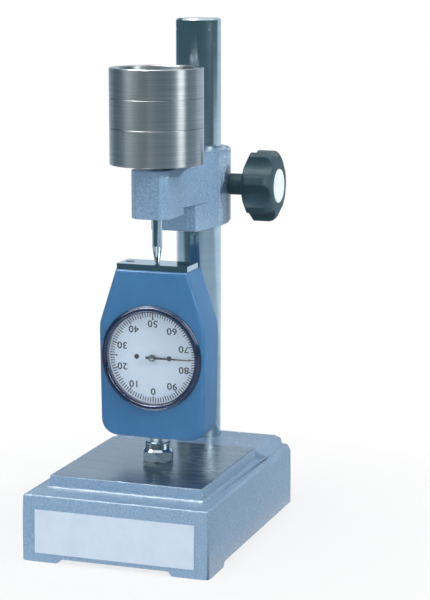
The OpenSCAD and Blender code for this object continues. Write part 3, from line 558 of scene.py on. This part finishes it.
def stroke(size, reading):
    """One printed stroke, modelled at the right of the dial and turned to its reading."""
    width, length = size
    bpy.ops.mesh.primitive_plane_add(size=1, location=(0, 0, 0))
    mark = bpy.context.object
    bpy.ops.object.mode_set(mode="EDIT")
    bpy.ops.transform.resize(value=(length, width, 1))
    bpy.ops.transform.translate(value=(STROKE_OUTER - length / 2, 0, 0))
    bpy.ops.mesh.extrude_region_move(TRANSFORM_OT_translate={"value": (0, 0, PRINT_THICK)})
    bpy.ops.object.mode_set(mode="OBJECT")
    place_on_dial(mark, dial_angle(reading))
    return mark


def spun(piece, copies, step):
    """Repeats a piece's mesh round the dial by spinning copies of it."""
    only(piece)
    bpy.ops.object.mode_set(mode="EDIT")
    bpy.ops.mesh.select_all(action="SELECT")
    bpy.ops.mesh.spin(steps=copies - 1, dupli=True, angle=step * (copies - 1),
                      center=(DIAL_X, DIAL_Y, DIAL_Z), axis=(0, 1, 0))
    bpy.ops.mesh.select_all(action="SELECT")
    bpy.ops.mesh.normals_make_consistent(inside=False)
    bpy.ops.object.mode_set(mode="OBJECT")
    return piece


def scale_strokes():
    """All strokes of the scale: single points, fives and tens."""
    five = 2 * math.pi * 5 / SCALE_POINTS
    ten = 2 * five
    first_points = join([stroke(POINT_STROKE, reading) for reading in (1, 2, 3, 4)])
    points = spun(first_points, SCALE_POINTS // 5, five)
    fives = spun(stroke(FIVE_STROKE, 5), SCALE_POINTS // 10, ten)
    tens = spun(stroke(TEN_STROKE, 0), SCALE_POINTS // 10, ten)
    return seat(join([points, fives, tens]), "scale_strokes", "stand", "pointer_black")


def scale_number(reading):
    """One printed number, upside down as the gauge stands."""
    turn = dial_angle(reading)
    bpy.ops.object.text_add(location=(0, 0, 0))
    number = bpy.context.object
    number.data.body = str(reading)
    number.data.align_x = "CENTER"
    number.data.align_y = "CENTER"
    number.data.extrude = NUMBER_BOLD
    number.data.space_character = NUMBER_SPACE
    only(number)
    bpy.ops.object.convert(target="MESH")
    number = bpy.context.object
    only(number)
    bpy.ops.object.mode_set(mode="EDIT")
    bpy.ops.mesh.select_all(action="SELECT")
    bpy.ops.mesh.remove_doubles(threshold=NUMBER_WELD)
    bpy.ops.mesh.normals_make_consistent(inside=False)
    bpy.ops.transform.shrink_fatten(value=NUMBER_BOLD)
    bpy.ops.object.mode_set(mode="OBJECT")
    number.scale = (NUMBER_WIDTH, NUMBER_HEIGHT, PRINT_THICK / number.dimensions.z)
    number.location = (0, 0, PRINT_THICK / 2)
    settle(number)
    number.rotation_euler = (math.pi / 2, math.pi, 0)
    number.location = (DIAL_X + NUMBER_RADIUS * math.cos(turn), DIAL_Y,
                       DIAL_Z + NUMBER_RADIUS * math.sin(turn))
    settle(number)
    return number


def scale_numbers():
    """The numbers at each ten points."""
    numbers = [scale_number(reading) for reading in range(0, SCALE_POINTS, NUMBER_STEP)]
    return seat(join(numbers), "scale_numbers", "stand", "pointer_black")


def scale_dots():
    """Small round marks inside the strokes at the quarter readings."""
    dots = []
    for reading in DOT_READINGS:
        bpy.ops.mesh.primitive_circle_add(vertices=24, radius=DOT_RADIUS, fill_type="NGON",
                                          location=(0, 0, 0))
        dot = bpy.context.object
        bpy.ops.object.mode_set(mode="EDIT")
        bpy.ops.transform.translate(value=(DOT_PLACE, 0, 0))
        bpy.ops.mesh.extrude_region_move(TRANSFORM_OT_translate={"value": (0, 0, PRINT_THICK)})
        bpy.ops.object.mode_set(mode="OBJECT")
        place_on_dial(dot, dial_angle(reading))
        dots.append(dot)
    return seat(join(dots), "scale_dots", "stand", "pointer_black")


def pointer_boss():
    """Bright turned boss on the hub of the pointer."""
    bpy.ops.mesh.primitive_cylinder_add(vertices=48, radius=BOSS_RADIUS, depth=BOSS_HEIGHT,
                                        location=(0, 0, BOSS_HEIGHT / 2))
    boss = bpy.context.object
    bpy.ops.object.mode_set(mode="EDIT")
    bpy.ops.mesh.select_all(action="SELECT")
    bpy.ops.mesh.bevel(offset=BOSS_EDGE, segments=ROUND_STEPS)
    bpy.ops.object.mode_set(mode="OBJECT")
    boss.rotation_euler = (math.pi / 2, 0, 0)
    boss.location = (DIAL_X, POINTER_FRONT, DIAL_Z)
    settle(boss)
    bpy.ops.object.shade_smooth_by_angle(angle=math.radians(BOSS_SMOOTH_ANGLE))
    return seat(boss, "pointer_boss", "hand", "chrome")


def bezel_crown():
    """Rounded front of the bezel ring."""
    low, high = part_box("bezel")
    outer = (high.x - low.x) / 2 - CROWN_EDGE
    inner = outer - CROWN_WIDTH
    bpy.ops.mesh.primitive_torus_add(major_radius=(outer + inner) / 2, minor_radius=CROWN_WIDTH / 2,
                                     major_segments=160, minor_segments=32, location=(0, 0, 0))
    crown = bpy.context.object
    bpy.ops.object.mode_set(mode="EDIT")
    bpy.ops.mesh.select_all(action="SELECT")
    bpy.ops.transform.resize(value=(1, 1, 2 * CROWN_RISE / CROWN_WIDTH))
    bpy.ops.object.mode_set(mode="OBJECT")
    crown.rotation_euler = (math.pi / 2, 0, 0)
    crown.location = (DIAL_X, low.y, DIAL_Z)
    settle(crown)
    bpy.ops.object.shade_smooth()
    return seat(crown, "bezel_crown", "stand", "bezel_black")


softened("base_casting", "stand", "hammer_paint", CASTING_ROUND, above=BASE_ROUND_ABOVE, shaped=sloped_ends)
arm_look = softened("arm_casting", "arm", "hammer_paint", CASTING_ROUND,
                    smooth=ARM_SMOOTH_ANGLE, above=ARM_ROUND_ABOVE)
# The arm gets the darker paint, which is painted shade for the weights' shadow.
arm_look.data.materials[0] = ARM_PAINTED_SHADE_FINISH
softened("gauge_housing", "stand", "case_paint", HOUSING_ROUND)
softened("clamp_knob", "knob", "knob_black", KNOB_ROUND)
scale_strokes()
scale_numbers()
scale_dots()
pointer_boss()
bezel_crown()


# Stage, light and camera


def by_light_path(tree, seen, unseen, output):
    """Shows one shader to the camera, to gloss and through glass, and another to all other light."""
    path = tree.nodes.new("ShaderNodeLightPath")
    most = path.outputs["Is Camera Ray"]
    for name in ("Is Glossy Ray", "Is Transmission Ray"):
        either = tree.nodes.new("ShaderNodeMath")
        either.operation = "MAXIMUM"
        tree.links.new(most, either.inputs[0])
        tree.links.new(path.outputs[name], either.inputs[1])
        most = either.outputs["Value"]
    mix = tree.nodes.new("ShaderNodeMixShader")
    tree.links.new(most, mix.inputs["Fac"])
    tree.links.new(unseen, mix.inputs[1])
    tree.links.new(seen, mix.inputs[2])
    tree.links.new(mix.outputs["Shader"], output)


def studio_world():
    """White surroundings as the camera sees them, and a softer light on the object."""
    world = bpy.data.worlds.new("studio")
    bpy.context.scene.world = world
    world.use_nodes = True
    tree = world.node_tree
    tree.nodes.clear()
    white = tree.nodes.new("ShaderNodeBackground")
    white.inputs["Color"].default_value = (1, 1, 1, 1)
    white.inputs["Strength"].default_value = 1.0
    soft = tree.nodes.new("ShaderNodeBackground")
    soft.inputs["Color"].default_value = SOFT_LIGHT_TONE
    soft.inputs["Strength"].default_value = SOFT_LIGHT_STRENGTH
    output = tree.nodes.new("ShaderNodeOutputWorld")
    by_light_path(tree, white.outputs["Background"], soft.outputs["Background"], output.inputs["Surface"])


def floor():
    """Pale floor that keeps a light shadow close to the stand and is plain white further away."""
    bpy.ops.mesh.primitive_plane_add(size=FLOOR_SIZE, location=(0, 0, 0))
    plane = bpy.context.object
    plane.name = "floor"
    material = bpy.data.materials.new("floor_paper")
    material.use_nodes = True
    tree = material.node_tree
    tree.nodes.clear()
    paper = tree.nodes.new("ShaderNodeBsdfDiffuse")
    paper.inputs["Color"].default_value = FLOOR_TONE
    glow = tree.nodes.new("ShaderNodeEmission")
    glow.inputs["Color"].default_value = (1, 1, 1, 1)
    glow.inputs["Strength"].default_value = 1.0
    both = tree.nodes.new("ShaderNodeMixShader")
    place = tree.nodes.new("ShaderNodeTexCoord")
    reach = tree.nodes.new("ShaderNodeVectorMath")
    reach.operation = "LENGTH"
    tree.links.new(place.outputs["Object"], reach.inputs[0])
    fade = tree.nodes.new("ShaderNodeMapRange")
    fade.inputs["From Min"].default_value = SHADOW_NEAR
    fade.inputs["From Max"].default_value = SHADOW_FAR
    fade.inputs["To Min"].default_value = SHADOW_WHITE
    fade.inputs["To Max"].default_value = 1.0
    tree.links.new(reach.outputs["Value"], fade.inputs["Value"])
    tree.links.new(fade.outputs["Result"], both.inputs["Fac"])
    tree.links.new(paper.outputs["BSDF"], both.inputs[1])
    tree.links.new(glow.outputs["Emission"], both.inputs[2])
    output = tree.nodes.new("ShaderNodeOutputMaterial")
    by_light_path(tree, both.outputs["Shader"], paper.outputs["BSDF"], output.inputs["Surface"])
    plane.data.materials.append(material)


def show_in_gloss(card, name, tone):
    """Lets a card show in polished metal and lacquer only, as studio flags do."""
    card.name = name
    material = bpy.data.materials.new(name)
    material.use_nodes = True
    tree = material.node_tree
    tree.nodes.clear()
    glow = tree.nodes.new("ShaderNodeEmission")
    glow.inputs["Color"].default_value = tone
    output = tree.nodes.new("ShaderNodeOutputMaterial")
    tree.links.new(glow.outputs["Emission"], output.inputs["Surface"])
    card.data.materials.append(material)
    card.visible_camera = False
    card.visible_diffuse = False
    card.visible_shadow = False
    card.visible_transmission = False
    card.visible_volume_scatter = False


def flag(name, azimuth, tone):
    """Upright card round the table."""
    turn = math.radians(azimuth)
    centre = Vector((math.sin(turn) * FLAG_DISTANCE, -math.cos(turn) * FLAG_DISTANCE, FLAG_HEIGHT / 2))
    bpy.ops.mesh.primitive_plane_add(size=1, location=centre, rotation=(math.pi / 2, 0, turn))
    card = bpy.context.object
    card.scale = (FLAG_WIDTH, FLAG_HEIGHT, 1)
    show_in_gloss(card, name, tone)


def ground_card(name, left, right, near, far, tone):
    """Card lying on the floor round the stand."""
    centre = ((left + right) / 2, (near + far) / 2, CARD_LIFT)
    bpy.ops.mesh.primitive_plane_add(size=1, location=centre)
    card = bpy.context.object
    card.scale = (right - left, far - near, 1)
    show_in_gloss(card, name, tone)


def softbox(name, place, aim, size, power, diffuse=True, gloss=True, spread=180):
    """Soft lamp; one that only lights paint or only shows in metal stands in for a screened one."""
    bpy.ops.object.light_add(type="AREA", location=place)
    lamp = bpy.context.object
    lamp.name = name
    lamp.data.shape = "RECTANGLE"
    lamp.data.size = size[0]
    lamp.data.size_y = size[1]
    lamp.data.energy = power
    lamp.data.spread = math.radians(spread)
    lamp.visible_camera = False
    lamp.visible_diffuse = diffuse
    lamp.visible_glossy = gloss
    lamp.rotation_euler = (Vector(aim) - Vector(place)).to_track_quat("-Z", "Y").to_euler()


def strip(name, azimuth, height, width, power):
    """Upright strip light beside the table, one metre away, that only shows in metal and gloss."""
    turn = math.radians(azimuth)
    softbox(name, (math.sin(turn), -math.cos(turn), height), STRIP_AIM, (width, STRIP_LENGTH), power,
            diffuse=False)


def camera():
    """The photograph's view."""
    bpy.ops.object.camera_add(location=CAMERA_AT)
    view = bpy.context.object
    view.rotation_euler = (CAMERA_TO - CAMERA_AT).to_track_quat("-Z", "Y").to_euler()
    view.data.sensor_width = 36
    view.data.lens = CAMERA_LENS
    view.data.clip_start = 0.05
    view.data.clip_end = 50
    bpy.context.scene.camera = view


studio_world()
floor()
ground_card("front_ground", left=-5.0, right=5.0, near=-6.0, far=-1.05, tone=SHADE)
ground_card("near_ground", left=-3.0, right=0.02, near=-1.05, far=-0.42, tone=SHADE)
ground_card("left_ground", left=-6.0, right=-1.4, near=-1.05, far=0.5, tone=SHADE)
ground_card("right_ground", left=1.4, right=6.0, near=-1.05, far=0.5, tone=SHADE)
ground_card("right_near_ground", left=0.064, right=1.4, near=-1.05, far=0.5, tone=PALE_SHADE)
ground_card("left_near_ground", left=-1.4, right=-0.064, near=-0.42, far=0.5, tone=PALE_SHADE)
ground_card("rear_ground", left=-6.0, right=6.0, near=0.5, far=6.0, tone=REAR_GROUND_TONE)
flag("front_flag", azimuth=0, tone=SHADE)
flag("left_flag", azimuth=-90, tone=SHADE)
flag("right_flag", azimuth=90, tone=SHADE)
flag("rear_flag", azimuth=180, tone=REAR_WALL_TONE)
softbox("key", place=(-0.1, -0.5, 1.6), aim=(0, 0, 0.15), size=(0.9, 0.9), power=8)
softbox("fill", place=(-0.2, -1.9, 0.5), aim=(0, 0, 0.1), size=(1.6, 1.0), power=8, gloss=False)
softbox("side", place=(1.2, -0.35, 0.8), aim=(0.03, 0.04, 0.22), size=(0.2, 0.2), power=0.21,
        gloss=False, spread=20)
softbox("edge_light", place=(-0.38, -0.21, 1.15), aim=(0, 0, 0.05), size=(0.36, 0.5), power=10,
        diffuse=False)
strip("right_strip", azimuth=84, height=0.85, width=0.36, power=9.5)
strip("left_strip", azimuth=-58, height=1.1, width=0.5, power=9)
camera()

bpy.context.scene.view_settings.view_transform = "Standard"
